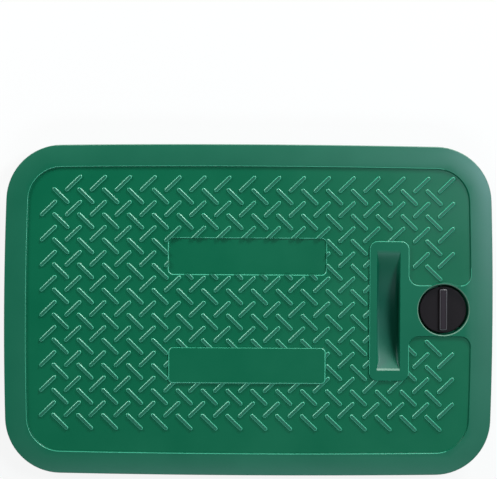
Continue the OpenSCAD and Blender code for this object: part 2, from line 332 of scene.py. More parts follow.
def plastic(name, colour, rough, shine, grain, grain_high, mottle=0.10, rubbed=None, deep=None,
            haze=(1.0, 1.0, 1.0)):
    """Principled plastic. colour is linear and varies by the share mottle either way. grain is the
    size of the mould's texture in millimetres and grain_high its height. shine is the specular
    level, and haze the tint of what is mirrored. rubbed is the shine of the outer rim, where |x|,
    |y| or, round the corners, |x| + |y| passes a limit. deep is the (colour, shine) at the bottom
    of the pocket; its colour is a painted shade that darkens the finish with depth."""
    mat = bpy.data.materials.new(name)
    mat.use_nodes = True
    nodes, links = mat.node_tree.nodes, mat.node_tree.links
    shader = nodes["Principled BSDF"]
    place = nodes.new("ShaderNodeTexCoord").outputs["Object"]
    apart = nodes.new("ShaderNodeSeparateXYZ")
    links.new(place, apart.inputs[0])

    slow = noise(mat, place, SWIRL, 4.0)
    tint = mixed(mat, slow, tuple(c * (1 - mottle) for c in colour),
                 tuple(c * (1 + mottle) for c in colour))
    links.new(ramp(mat, slow, 0.0, 1.0, rough - SMOOTHER, rough + ROUGHER),
              shader.inputs["Roughness"])
    shader.inputs["Specular IOR Level"].default_value = shine
    shader.inputs["Specular Tint"].default_value = (*haze, 1.0)
    if rubbed is not None:
        x = arithmetic(mat, "ABSOLUTE", apart.outputs["X"])
        y = arithmetic(mat, "ABSOLUTE", apart.outputs["Y"])
        outer = arithmetic(mat, "MAXIMUM", ramp(mat, x, *RUBBED_X), ramp(mat, y, *RUBBED_Y))
        corner = ramp(mat, arithmetic(mat, "ADD", x, y), *RUBBED_SUM)
        outer = arithmetic(mat, "MAXIMUM", outer, corner)
        links.new(ramp(mat, outer, 0.0, 1.0, shine, rubbed), shader.inputs["Specular IOR Level"])
    if deep is not None:
        shade_colour, deep_shine = deep
        links.new(ramp(mat, apart.outputs["Z"], *DIM_SHINE, deep_shine, shine),
                  shader.inputs["Specular IOR Level"])
        # Painted shade: the colour darkens towards the bottom of the pocket.
        tint = mixed(mat, ramp(mat, apart.outputs["Z"], *PAINTED_SHADE_Z), shade_colour, tint)
    links.new(tint, shader.inputs["Base Color"])

    bump = nodes.new("ShaderNodeBump")
    bump.inputs["Distance"].default_value = grain_high * METRES
    bump.inputs["Strength"].default_value = 1.0
    links.new(noise(mat, place, 1.0 / METRES / grain, 3.0), bump.inputs["Height"])
    links.new(bump.outputs["Normal"], shader.inputs["Normal"])
    return mat


HAZE, MINT = (0.80, 0.84, 1.0), (0.78, 1.0, 0.90)
green_rim = plastic("green_etched", (0.0016, 0.117, 0.059), 0.40, 0.26, 0.6, 0.003,
                    rubbed=0.62, haze=HAZE)
green_field = plastic("green_polished", (0.0004, 0.116, 0.053), 0.31, 0.44, 0.5, 0.0008,
                      haze=HAZE)
# A painted highlight: rounded edges get this pale mint colour in place of the light that they
# catch.
green_edge_highlight = plastic("green_painted_edge_highlight", (0.066, 0.440, 0.280), 0.33, 1.00, 0.5, 0.0002, 0.04,
                     haze=MINT)
# A painted highlight: a few edges get this pale grey-green colour where they face a lamp.
green_painted_pale_highlight = plastic("green_painted_pale_highlight", (0.150, 0.300, 0.220), 0.42, 0.60, 0.5, 0.001, 0.04)
# A painted shade: this finish darkens towards the bottom of the pocket.
green_pocket_shade = plastic("green_pocket_painted_shade", (0.0020, 0.117, 0.060), 0.44, 0.47, 0.6, 0.002,
                     deep=((0.0060, 0.104, 0.064), 0.18), haze=HAZE)
green_walked = plastic("green_walked", (0.0080, 0.118, 0.065), 0.42, 0.48, 0.6, 0.003,
                       haze=HAZE)
greens = [green_rim, green_field, green_edge_highlight, green_painted_pale_highlight, green_pocket_shade, green_walked]
RIM_F, FIELD_F, EDGE_HIGHLIGHT_F, PALE_HIGHLIGHT_F, POCKET_SHADE_F, WALKED_F = range(len(greens))
black_nylon = plastic("black_nylon", (0.0110, 0.0078, 0.0098), 0.44, 0.12, 0.7, 0.004, 0.05)
black_grip = plastic("black_handled", (0.0220, 0.0145, 0.0205), 0.40, 0.19, 0.7, 0.003, 0.05)
# A painted highlight: the grip's rounded edges get this paler colour.
black_edge_highlight = plastic("black_painted_edge_highlight", (0.080, 0.072, 0.082), 0.30, 0.80, 0.7, 0.0005, 0.03)
blacks = [black_nylon, black_grip, black_edge_highlight]
NYLON_F, GRIP_F, BLACK_HIGHLIGHT_F = range(len(blacks))
print("finishes", [m.name for m in greens + blacks])


# %% Plated steel
def plated(name, colour, rough):
    """Bright metal with a slightly uneven plating: roughness follows fine stretched noise."""
    mat = bpy.data.materials.new(name)
    mat.use_nodes = True
    nodes, links = mat.node_tree.nodes, mat.node_tree.links
    shader = nodes["Principled BSDF"]
    shader.inputs["Base Color"].default_value = (*colour, 1.0)
    shader.inputs["Metallic"].default_value = 1.0
    stretch = nodes.new("ShaderNodeMapping")
    stretch.inputs["Scale"].default_value = (300.0, 1800.0, 300.0)
    links.new(nodes.new("ShaderNodeTexCoord").outputs["Object"], stretch.inputs["Vector"])
    uneven = noise(mat, stretch.outputs["Vector"], 1.0, 2.0)
    links.new(ramp(mat, uneven, 0.0, 1.0, rough - 0.08, rough + 0.10),
              shader.inputs["Roughness"])
    return mat


zinc = plated("zinc_plating", (0.62, 0.63, 0.65), 0.34)
print("finish", zinc.name)

# %% [markdown]
# ## Where an edge gets a painted highlight
#
# Rounded edges that stand out catch the light as thin bright lines, and that highlight is painted:
# they get a paler finish. On a section these are the roundings where the line turns left, since the
# solid lies on its left. A Pointiness node could find them too, but only in one render engine, so
# the legs of the section are picked by their turn.

# %% Legs with the painted highlight
def highlight_legs(section, plain, edge=EDGE_HIGHLIGHT_F, above=30.0, turning=0.02):
    """Finish number per leg of a section: edge, the finish with the painted highlight, where the
    line turns left at both ends of the leg, which makes it a part of a convex rounding, and lies
    above a height. Plain elsewhere."""
    way = np.arctan2(*np.diff(section, axis=0).T[::-1])
    turn = (np.diff(way) + np.pi) % (2 * np.pi) - np.pi
    convex = np.concatenate([[False], turn > turning, [False]])
    return np.where(convex[:-1] & convex[1:] & (section[:-1, 1] > above), edge, plain)


print("legs of one rounding", highlight_legs(soften([(0, 31, 0), (1, 31, 0.2), (1, 32, 0)]), RIM_F).tolist())

# %% [markdown]
# ## The lid's outline and levels
#
# The sides of the real cover aren't straight: they bow outwards by a millimetre and a half,
# which keeps a thin moulding from looking pinched. Each side is one very flat arc that
# meets the corner's arc at a tangent, so its radius follows from the bow. The numbers are
# those of the CAD source.

# %% Outline
HALF_LEN, HALF_WID, CORNER = 245.0, 166.0, 56.0
BOW_LONG, BOW_SHORT = 1.5, 1.7
CX, CY = HALF_LEN - CORNER - BOW_SHORT, HALF_WID - CORNER - BOW_LONG
LONG_R = (CX ** 2 + (HALF_WID - CY) ** 2 - CORNER ** 2) / (2 * BOW_LONG)
SHORT_R = (CY ** 2 + (HALF_LEN - CX) ** 2 - CORNER ** 2) / (2 * BOW_SHORT)
LONG_A = math.degrees(math.asin(CX / (LONG_R - CORNER)))
SHORT_A = math.degrees(math.asin(CY / (SHORT_R - CORNER)))
TOP, FIELD, DECK, SEAT = 36.0, 34.0, 29.0, 28.0
LOCK = (195.3, 1.2)


def right_side(inset, y0, y1, steps):
    """The right side's arc between two heights on the plan, moved in by inset."""
    r = SHORT_R - inset
    a0, a1 = (math.degrees(math.asin(y / r)) for y in (y0, y1))
    return bend(HALF_LEN - SHORT_R, 0, r, a0, a1, steps)


def three_sides(inset, corner=16, side=24):
    """From the upper end of the right side, anticlockwise, to the lower end of it."""
    r, rl, rs = CORNER - inset, LONG_R - inset, SHORT_R - inset
    return [bend(CX, CY, r, SHORT_A, 90 - LONG_A, corner),
            bend(0, HALF_WID - LONG_R, rl, 90 - LONG_A, 90 + LONG_A, side),
            bend(-CX, CY, r, 90 + LONG_A, 180 - SHORT_A, corner),
            bend(SHORT_R - HALF_LEN, 0, rs, 180 - SHORT_A, 180 + SHORT_A, side),
            bend(-CX, -CY, r, 180 + SHORT_A, 270 - LONG_A, corner),
            bend(0, LONG_R - HALF_WID, rl, 270 - LONG_A, 270 + LONG_A, side),
            bend(CX, -CY, r, 270 + LONG_A, 360 - SHORT_A, corner)]


def side_reach(inset):
    """How far the right side's arc goes up and down."""
    return (SHORT_R - inset) * math.sin(math.radians(SHORT_A))


print("long side radius", round(LONG_R), "short side radius", round(SHORT_R))

# %% [markdown]
# ## Rim, flange and skirt
#
# The rim, the flange that lies on the box and the drafted skirt below it are one section, carried
# round the outline. The rim's top isn't quite level: it is rounded to a radius of 150 mm towards
# the outline, so the haze of the light changes across its width. Along the far side and round the
# right far corner, where it faces the low far lamp, the outer edge gets a grey-green painted
# highlight.
#
# The skirt has a window near the lock, where the cam swings out. A Boolean could cut it, but
# here the path has each edge of the window twice: once with the full section and once with
# the section cut off at the window's head. The quads between the two are the window's side
# walls.

# %% Rim section and its path
NOTCH = (LOCK[1] - 12.5, LOCK[1] + 33.0)
NOTCH_HEAD = 22.6
DECK_IN, TOP_IN = 21.4, 19.5  # how far inside the outline the section begins and ends
half_side = side_reach(0)
outer_path = join(
    right_side(0, -half_side, NOTCH[0], 6), right_side(0, NOTCH[0], NOTCH[1], 8),
    right_side(0, NOTCH[1], half_side, 6), *three_sides(0))
rim_section = soften([
    (-DECK_IN, DECK, 0), (-19.0, SEAT, 2.0),       # below the deck
    (-16.95, SEAT, 0.9), (-16.39, 0, 0.5),         # the skirt's inner wall
    (-13.59, 0, 0.5), (-13.0, SEAT, 0.9),          # its foot and outer wall
    (0, SEAT, 0.5), (-0.15, 34.9, 2.3),            # the flange and its edge
    (-9.6, TOP, 150.0), (-TOP_IN, TOP, 0)], steps=6)
print("path", outer_path.shape, "section", rim_section.shape)

# %% Carry it round, with the window
PALE_HIGHLIGHT_FROM, PALE_HIGHLIGHT_TO = math.radians(38), math.radians(93)
INNER, OUTER = 0, 8  # two points of the section, the second further out
LOCK_END, SLACK = 200.0, 0.01
xy = outer_path[:, None, :2] + outer_path[:, None, 2:] * rim_section[None, :, :1]
z = np.broadcast_to(rim_section[None, :, 1:], xy.shape[:2] + (1,)).copy()
shell = np.concatenate([xy, z], axis=2)
inside = ((outer_path[:, 0] > LOCK_END) & (outer_path[:, 1] > NOTCH[0] - SLACK)
          & (outer_path[:, 1] < NOTCH[1] + SLACK))
cut = shell[inside].copy()
cut[:, :, 2] = np.maximum(cut[:, :, 2], NOTCH_HEAD)
first, last = np.flatnonzero(inside)[[0, -1]]
shell = np.concatenate([shell[:first + 1], cut, shell[last:]])
shell_finish = np.full((shell.shape[0], shell.shape[1] - 1), RIM_F)
outwards = shell[:, OUTER] - shell[:, INNER]
heading = np.arctan2(outwards[:, 1], outwards[:, 0])
# Rows of the outer edge that face the far side get the grey-green painted highlight.
far_rows = (heading > PALE_HIGHLIGHT_FROM) & (heading < PALE_HIGHLIGHT_TO)
shell_finish[far_rows] = highlight_legs(rim_section, RIM_F, PALE_HIGHLIGHT_F, above=33.5)
lid.grid(shell, shell_finish, closed=True)
print("window", NOTCH, "rows", shell.shape[0])

# %% [markdown]
# ## The step down to the tread field
#
# The field lies 2 mm below the rim. Its edge follows the rim's inner edge, then leaves it at
# the lock, runs in along the land, round the pocket's frame and back. That is one closed
# path, so one small section with a rounded top edge makes the whole step. The hollow
# corners of the land are right-hand turns of the same path.
#
# The top edge gets a painted highlight, a pale mint finish, where it faces the light. Where it
# faces away, on the near side of land and frame, at the collar and on the right side of the field,
# it keeps the rim's finish. On the left side of rim and frame only the upper legs of it are painted
# pale, so the line is thinner there.

# %% Field boundary
RIM, LAND, FILLET = 22.4, 25.5, 10.0
FX, FY, FW, FL, FR = 141.0, -0.4, 39.8, 139.7, 8.0
COLLAR, NOOK = 27.0, 2.5


def round_collar(y, side):
    """Arcs from the land's edge at height y over the well's collar and back to that edge. The
    nook between edge and collar has a small fillet that touches both, so its centre lies
    one fillet radius from the edge and collar plus fillet from the lock."""
    up = abs(y - LOCK[1]) + NOOK
    out = math.sqrt((COLLAR + NOOK) ** 2 - up ** 2)
    a = math.degrees(math.atan2(up, out))
    mid = y + side * NOOK
    if side > 0:
        return [bend(LOCK[0] - out, mid, NOOK, 270, 360 - a, 4),
                bend(*LOCK, COLLAR, 180 - a, a, 20),
                bend(LOCK[0] + out, mid, NOOK, 180 + a, 270, 4)]
    return [bend(LOCK[0] + out, mid, NOOK, 90, 180 - a, 4),
            bend(*LOCK, COLLAR, -a, a - 180, 20),
            bend(LOCK[0] - out, mid, NOOK, a, 90, 4)]


right_edge = HALF_LEN - SHORT_R + math.sqrt((SHORT_R - RIM) ** 2 - (LAND + FILLET) ** 2)
left_edge = FX + FW / 2
reach_in = side_reach(RIM)
round_rim = join(right_side(RIM, LAND + FILLET, reach_in, 10), *three_sides(RIM, corner=14),
                 right_side(RIM, -reach_in, -LAND - FILLET, 10))
round_land = join(
    bend(right_edge - FILLET, -LAND - FILLET, FILLET, 0, 90, 8), *round_collar(-LAND, -1),
    bend(left_edge + FILLET, -LAND - FILLET, FILLET, 90, 180, 8),
    bend(FX + FW / 2 - FR, FY - FL / 2 + FR, FR, 0, -90, 8),
    bend(FX - FW / 2 + FR, FY - FL / 2 + FR, FR, 270, 180, 8),
    bend(FX - FW / 2 + FR, FY + FL / 2 - FR, FR, 180, 90, 8),
    bend(FX + FW / 2 - FR, FY + FL / 2 - FR, FR, 90, 0, 8),
    bend(left_edge + FILLET, LAND + FILLET, FILLET, 180, 270, 8), *round_collar(LAND, 1),
    bend(right_edge - FILLET, LAND + FILLET, FILLET, 270, 360, 8))
step_path = join(round_rim, round_land)
land_edge = np.vstack([round_rim[-1:], step_path[len(round_rim):], round_rim[:1]])
print("field boundary", step_path.shape)

# %% The step and its painted edge highlight
STEP_UP, STEP_DOWN = 0.6, 1.2  # how far the section reaches onto the rim and onto the field
NEARWARD, RIGHTWARD, SIDEWAYS = 0.35, 0.30, 0.80  # least part of a direction that counts
step_section = soften([(STEP_UP, TOP, 0), (0.2, TOP, 0.54), (-0.45, FIELD, 0.3),
                       (-STEP_DOWN, FIELD, 0)])
step_legs = highlight_legs(step_section, RIM_F)
lower_legs = np.flatnonzero(step_legs == EDGE_HIGHLIGHT_F)[-2:]
step_finish = np.tile(step_legs, (len(step_path), 1))
uphill_x, uphill_y = step_path[:, 2:].T  # towards the higher ground, so the edge faces back
on_land = np.arange(len(step_path)) >= len(round_rim)
# Where the edge faces away from the lights it keeps the rim's finish, so no highlight is painted
# there.
near_side = on_land & (uphill_y > NEARWARD)
collar = np.hypot(*(step_path[:, :2] - LOCK).T) < COLLAR + 0.5
right_rim = ~on_land & (uphill_x > RIGHTWARD)
step_finish[near_side | collar | right_rim] = RIM_F
# On the left sides only the upper legs keep the painted highlight, which thins the line.
thin = np.where(on_land, uphill_x > SIDEWAYS, uphill_x < -SIDEWAYS)
step_finish[np.ix_(thin, lower_legs)] = RIM_F
step_finish[:, -2:] = FIELD_F
lid.carry(step_path, step_section, step_finish)
print("step legs", step_legs.tolist(), "thinner rows", int(thin.sum()))

# %% [markdown]
# ## Name plates
#
# Both plates are plain. The upper one is sunk 1 mm into the field and the lower one stands as high
# as the rim. Each is one small section round a rounded rectangle. The sunk one is walked outside to
# inside and downwards, the raised one upwards. Their edges get the painted highlight too, but on
# the raised plate's far edge only the outer legs do, which keeps the line thin.

# %% Plates
PX, PW, PH, PR = -1.1, 157.5, 36.0, 4.5
SUNK_Y, RAISED_Y, SUNK = 53.5, -55.8, 33.0
APRON, SUNK_IN, RAISED_IN = 1.4, 1.4, 2.2  # how far the sections reach outwards and inwards
sunk_path = rounded_box(PX, SUNK_Y, PW, PH, PR)
raised_path = rounded_box(PX, RAISED_Y, PW, PH, PR)
sunk_section = soften([(APRON, FIELD, 0), (0.4, FIELD, 0.9), (-0.3, SUNK, 0.3),
                       (-SUNK_IN, SUNK, 0)])
raised_section = soften([(APRON, FIELD, 0), (0.35, FIELD, 0.3), (-0.35, TOP, 0.9),
                         (-RAISED_IN, TOP, 0)])
# The sunk plate's rounded edges get the painted highlight.
lid.carry(sunk_path, sunk_section, highlight_legs(sunk_section, FIELD_F))
raised_legs = highlight_legs(raised_section, FIELD_F)
upper_legs = np.flatnonzero(raised_legs == EDGE_HIGHLIGHT_F)[-2:]
raised_finish = np.tile(raised_legs, (len(raised_path), 1))
# On the raised plate's far edge only the outer legs keep the painted highlight, which thins the
# line.
raised_finish[np.ix_(raised_path[:, 3] > 0.9, upper_legs)] = FIELD_F
lid.carry(raised_path, raised_section, raised_finish)
lid.flat([offset(sunk_path, -SUNK_IN)], SUNK, FIELD_F)
lid.flat([offset(raised_path, -RAISED_IN)], TOP, FIELD_F)
lid.flat([offset(step_path, -STEP_DOWN), offset(sunk_path, APRON), offset(raised_path, APRON)],
         FIELD, FIELD_F)
print("field and plates", lid.count, "points so far")

# %% [markdown]
# ## Finger pocket
#
# The pocket is a slot with upright sides and a floor that follows a circle along its length. Its
# surface has two parameters: the place along the pocket, and the place round a U. The depth at each
# place comes from the circle, and the radii of the U shrink with the depth. The far end runs out
# level, and the near end keeps an edge with a grey-green painted highlight. The floor's colour
# darkens with depth, a painted shade. The shell below the deck is the same surface with a larger
# circle and width, seen from the other side.

# %% Trough surface
POCKET = (140.2, 0.5)


def depth_of(y, r, sink, near, far):
    """Depth d below the mouth of a circle of radius r that is sink deep in the middle. The near
    end keeps its edge, with a lip: h d + near h (1 - h), where h = (1 + d / near) / 2 is cut to
    0..1. The far end starts level: d^2 / (d + far), scaled to the same depth in the middle."""
    d = np.sqrt(r ** 2 - y ** 2) - (r - sink)
    h = np.clip(0.5 + 0.5 * d / near, 0, 1)
    level = np.maximum(d, 0) ** 2 / (np.maximum(d, 0) + far) * (sink + far) / sink
    return np.where(y < 0, h * d + near * h * (1 - h), level)


def trough(half, r, sink, z, fillet, edge, near, far, along=80, steps=5):
    """Grid of points (place along, place round the U) of a slot twice half wide. Each row goes
    from the left lip round a lip radius, edge, down, round a fillet, across the floor and up
    again the same way. Where the slot is shallow both radii are a share of its depth."""
    place = np.sin(np.radians(np.linspace(-90, 90, along + 1)))
    beyond = np.where(place < 0, near, 0.0)
    y = np.sqrt(r ** 2 - (r - sink - beyond) ** 2) * place
    d = depth_of(y, r, sink, near, far)
    d[[0, -1]] = 0.0
    lip, low = np.minimum(edge, 0.3 * d), np.minimum(fillet, 0.6 * d)
    a = np.radians(np.linspace(90, 0, steps + 1))
    b = np.radians(np.linspace(180, 270, steps + 1))
    x = np.hstack([-half - lip[:, None] * (1 - np.cos(a)), -half + low[:, None] * (1 + np.cos(b))])
    h = np.hstack([-lip[:, None] * (1 - np.sin(a)), -d[:, None] + low[:, None] * (1 + np.sin(b))])
    x, h = np.hstack([x, -x[:, ::-1]]), np.hstack([h, h[:, ::-1]])
    yy = np.broadcast_to(y[:, None], x.shape)
    return np.stack([POCKET[0] + x, POCKET[1] + yy, z + h], axis=2)


def mouth(points):
    """The closed line round a trough's lips."""
    return np.concatenate([points[:, 0, :2], points[::-1, -1, :2]])


# %% Pocket and its shell
POCKET_LEN, POCKET_DEEP = 119.4, 22.0
LIP_LEGS = 5
LIP_ROWS = (-60.0, -58.4)
radius = ((POCKET_LEN / 2) ** 2 + POCKET_DEEP ** 2) / (2 * POCKET_DEEP)
pocket = trough(half=11.5, r=radius, sink=POCKET_DEEP, z=TOP, fillet=4.0, edge=0.6,
                near=0.9, far=13.0)
bulge = trough(half=14.5, r=radius + 3, sink=18.0, z=DECK, fillet=3.0, edge=0.0,
               near=0.6, far=0.6)
# The pocket's finish carries the painted shade that darkens its floor.
pocket_finish = np.full((pocket.shape[0] - 1, pocket.shape[1] - 1), POCKET_SHADE_F)
pocket_finish[:, :LIP_LEGS] = pocket_finish[:, -LIP_LEGS:] = RIM_F
along = pocket[:-1, 0, 1]
# The near end's edge gets the grey-green painted highlight.
pocket_finish[(along > LIP_ROWS[0]) & (along < LIP_ROWS[1])] = PALE_HIGHLIGHT_F
lid.grid(pocket[:, ::-1], pocket_finish[:, ::-1])
lid.grid(bulge, RIM_F)
print("pocket floor radius", round(radius, 1), "grid", pocket.shape)

# %% [markdown]
# ## Well and hub of the lock
#
# Everything round the lock's axis is one section turned about it: down the well's wall, in over its
# floor, down the bore that the knob's stem turns in, out below the hub and up to the deck. One
# turned section leaves no seam where the light would show a crack. The well's top edge gets a
# grey-green painted highlight all round.
#
# With it every hole of the lid is known, so the level parts between them can be filled: the
# rim, the land with the frame, and the deck's underside.

# %% Turned section of the lock's seat
WELL_OUT, UNDER_OUT = 26.35, 30.4  # radii where the section meets the land and the deck
Z_WELL, Z_UNDER, Z_HUB = 26.0, 22.0, 20.9  # the well's floor, its underside, the hub's foot
well_section = soften([
    (WELL_OUT, TOP, 0), (26.15, TOP, 0.2), (25.35, 34.8, 0.6),           # bevel
    (25.3, Z_WELL, 1.2), (8.05, Z_WELL, 0.3),                            # wall and floor
    (8.05, Z_HUB, 0.3), (14.0, Z_HUB, 0.5),                              # bore and hub's foot
    (14.0, Z_UNDER, 0.6), (28.3, Z_UNDER, 0.8), (28.3, DECK, 0.8), (UNDER_OUT, DECK, 0)])
axis = circle(*LOCK)
# The well's top edge gets the grey-green painted highlight all round.
lid.carry(axis, well_section, highlight_legs(well_section, RIM_F, PALE_HIGHLIGHT_F))
lid.flat([offset(outer_path, -TOP_IN), offset(round_rim, STEP_UP)], TOP, RIM_F)
lid.flat([offset(land_edge, STEP_UP), mouth(pocket), offset(axis, WELL_OUT)], TOP, RIM_F)
lid.flat([offset(outer_path, -DECK_IN), mouth(bulge), offset(axis, UNDER_OUT)], DECK, RIM_F,
         up=False)
print("well", well_section.shape, "points", lid.count)

# %% [markdown]
# ## Ribs below the deck
#
# Thin ribs cross below the deck, as on any large flat moulding: they keep it stiff with
# little plastic. A rib is a drafted U section with a softened foot, carried straight. Its
# ends are buried in the skirt, so they need no care. Where the pocket's shell or the cam's
# sweep is in the way, a rib stops and starts again.

# %% Rib spans
RIB_X, RIB_Y, RIB_FOOT = 46.0, 44.0, 19.0
BURIED = 15.2  # how far inside the outline a rib ends, in the skirt's wall
SWEEP = 48.0  # radius round the lock that the cam needs


def rib_section(low, high, thick=2.6):
    """Closed outline of a rib, anticlockwise: narrower and rounded at its foot."""
    foot, root = thick / 2 - 0.12, thick / 2
    return soften([(-root, high, 0), (-foot, low, 0.7), (foot, low, 0.7), (root, high, 0)],
                  steps=3)


def side_end(across, along_x):
    """How far a rib runs before it is inside the skirt: on the side's arc or the corner's."""
    centre, other, big = (CY, CX, SHORT_R) if along_x else (CX, CY, LONG_R)
    half = HALF_LEN if along_x else HALF_WID
    if abs(across) > centre:
        return other + math.sqrt((CORNER - BURIED) ** 2 - (abs(across) - centre) ** 2)
    return half - big + math.sqrt((big - BURIED) ** 2 - across ** 2)


def less(spans, low, high):
    """The spans without what lies between low and high, and without scraps under 1 mm."""
    pieces = [(a, min(b, low)) for a, b in spans] + [(max(a, high), b) for a, b in spans]
    return [(a, b) for a, b in pieces if b - a > 1.0]


def cleared(spans, middle, across):
    """The spans without the part inside the cam's sweep, a circle round the lock."""
    if abs(across) >= SWEEP:
        return spans
    half = math.sqrt(SWEEP ** 2 - across ** 2)
    return less(spans, middle - half, middle + half)


print("a rib on the middle line reaches", round(side_end(0.0, True), 1), "mm")

# %% [markdown]
# Two of the ribs along the cover meet the pocket's shell where it isn't deep, so they carry on
# below it as low ribs. The rib across the cover that the pocket lies on is cut in two, and its
# ends lean back from the shell's floor, which rises there.

# %% Make the ribs
SHELL_HALF, SHELL_REACH = 13.0, 55.0  # the shell's half width and reach, for ribs along X
LOW_HALF, LOW_TOP = 13.2, 23.0  # a low rib below the shell
END_AT, END_LEANS = 34.0, -19.5  # foot of the rib at the shell's end, and its lean
rib = rib_section(RIB_FOOT, DECK + 0.6)
count = 0
for row in range(-3, 4):
    y = row * RIB_Y
    end = side_end(y, True)
    spans = cleared([(-end, end)], LOCK[0], y - LOCK[1])
    if abs(y - POCKET[1]) < SHELL_REACH:
        spans = less(spans, POCKET[0] - SHELL_HALF, POCKET[0] + SHELL_HALF)
    if abs(row) == 1:
        lid.run((POCKET[0] - LOW_HALF, y), (POCKET[0] + LOW_HALF, y),
                rib_section(RIB_FOOT, LOW_TOP), RIM_F)
    for a, b in spans:
        lid.run((a, y), (b, y), rib, RIM_F)
        count += 1
for column in range(-4, 5):
    x = column * RIB_X
    end = side_end(x, False)
    if abs(x - POCKET[0]) < SHELL_HALF:
        for side in (-1, 1):
            lid.run((x, POCKET[1] + side * END_AT), (x, side * end), rib, RIM_F,
                    slant=(END_LEANS, 0.0))
            count += 1
        continue
    for a, b in cleared([(-end, end)], LOCK[1], x - LOCK[0]):
        lid.run((x, a), (x, b), rib, RIM_F)
        count += 1
print("ribs", count)

# %% [markdown]
# ## Tongues and cam stops
#
# Two fixed tongues at the far end hook below the box's ledge, and the lock's cam does the
# same at the other end. Two short ribs stop the cam after a quarter turn. They are plain
# sections too, with their corners softened.

# %% Make them
Z_CAM = 20.6
SKIRT_IN, ROOTED = 13.0, 2.0  # the skirt's outer wall, and how deep a tongue's root is in it
TONGUE_Y, TONGUE_HALF = 62.0, 17.0
root = -HALF_LEN + SKIRT_IN + ROOTED
tongue = soften([
    (0.0, 11.6, 0), (0.0, Z_CAM, 0), (-11.5, Z_CAM, 1.4), (-11.5, 17.0, 0.8), (-3.0, 11.6, 1.0),
    (0.0, 11.6, 0)], steps=3)[:-1]
for y in (-TONGUE_Y, TONGUE_Y):
    lid.run((root, y - TONGUE_HALF), (root, y + TONGUE_HALF), tongue, RIM_F)
stop = rib_section(Z_CAM - 5.0, DECK + 0.5, 3.0)
STOPS = (((23.5, -12.1), (28.5, -12.1)), ((-12.1, 24.5), (-12.1, 29.5)))  # from the lock's axis
for start, end in STOPS:
    lid.run(np.add(LOCK, start), np.add(LOCK, end), stop, RIM_F)
print("tongues and stops", lid.count, "points")

# %% [markdown]
# ## Anti-slip bars
#
# The tread is two lattices of low bars that cross like a woven floor. In Blender an Array
# would repeat one bar, but the bars that the plates, the frame or the land cover aren't
# there, and those at the sunk plate are cut off at its edge. So the places are an array of
# numbers: bars inside a plate are dropped, and all the others are made at once from one
# ring of twelve points at five heights.

# %% Places of the bars
BAR, FOOT_R, SLANT = 23.5, 2.4, 44.0
STEP_X, STEP_Y, ROWS = 24.9, 25.1, 10
FIRST_X, FIRST_Y = -188.1, 113.3


def lattice(x0, y0, columns, skip):
    """Middles of the bars of one direction, row by row from the upper left. skip leaves out the
    very first, because the real cover has no bar there."""
    c, r = np.meshgrid(np.arange(columns), np.arange(ROWS))
    places = np.column_stack([x0 + c.ravel() * STEP_X, y0 - r.ravel() * STEP_Y])
    return places[1:] if skip else places


BARE = [(PX, SUNK_Y, PW, PH), (PX, RAISED_Y, PW, PH),  # rows are middle x, y, width, height
        (FX, FY + 2, FW, FL + 4),  # the frame
        ((FX + HALF_LEN) / 2, 0, HALF_LEN - FX, 2 * LAND + 18),  # the land
        (FX + FW / 2, 50.5, 24, 46)]  # right of the frame's upper half


def open_places(p):
    """The places less those where a bar's whole length lies inside a bare rectangle."""
    m = BAR * math.cos(math.radians(SLANT)) / 2
    hidden = np.zeros(len(p), bool)
    for x, y, w, h in BARE:
        hidden |= (abs(p[:, 0] - x) < w / 2 - m) & (abs(p[:, 1] - y) < h / 2 - m)
    return p[~hidden]


falling = open_places(lattice(FIRST_X, FIRST_Y, 16, False))
rising = open_places(lattice(FIRST_X - STEP_X / 2, FIRST_Y + STEP_Y / 2, 17, True))
print("bars", len(falling), "falling", len(rising), "rising")

# %% Shape of the bars
RINGS = np.array([(2.55, -0.30), (1.90, 0.86), (1.74, 1.10), (1.28, 1.42), (0.98, 1.50)])
# The bars' upper roundings get the pale mint painted highlight, and their tops the walked finish.
RING_BANDS = np.array([FIELD_F, EDGE_HIGHLIGHT_F, EDGE_HIGHLIGHT_F, WALKED_F])
STOPPED_BY = ((PX, SUNK_Y, PW + 0.4, PH + 0.4),  # a bar ends just outside the sunk plate,
              (FX, FY, FW - 4, FL - 4), (FX + 60, 0, 120, 2 * LAND - 4))  # inside frame, land


def pull_out(points, u, box):
    """Moves the points inside a box along the bar to the box's edge, so the bar ends there.
    The travel is the smaller of the distances to the two edges that lie ahead."""
    x0, x1, y0, y1 = box
    inside = ((points[..., 0] > x0) & (points[..., 0] < x1)
              & (points[..., 1] > y0) & (points[..., 1] < y1))
    middle = points.mean(axis=(1, 2), keepdims=True)
    t = ((points - middle) @ np.append(u, 0.0)) * inside
    way = -np.sign(t.sum(axis=(1, 2)))[:, None, None]
    ux, uy = way * u[0], way * u[1]
    with np.errstate(divide="ignore", invalid="ignore"):
        tx = np.where(ux > 0, (x1 - points[..., 0]) / ux, (x0 - points[..., 0]) / ux)
        ty = np.where(uy > 0, (y1 - points[..., 1]) / uy, (y0 - points[..., 1]) / uy)
    travel = np.where(inside & (way != 0), np.minimum(tx, ty), 0.0)
    out = points.copy()
    out[..., 0] += travel * ux
    out[..., 1] += travel * uy
    return out


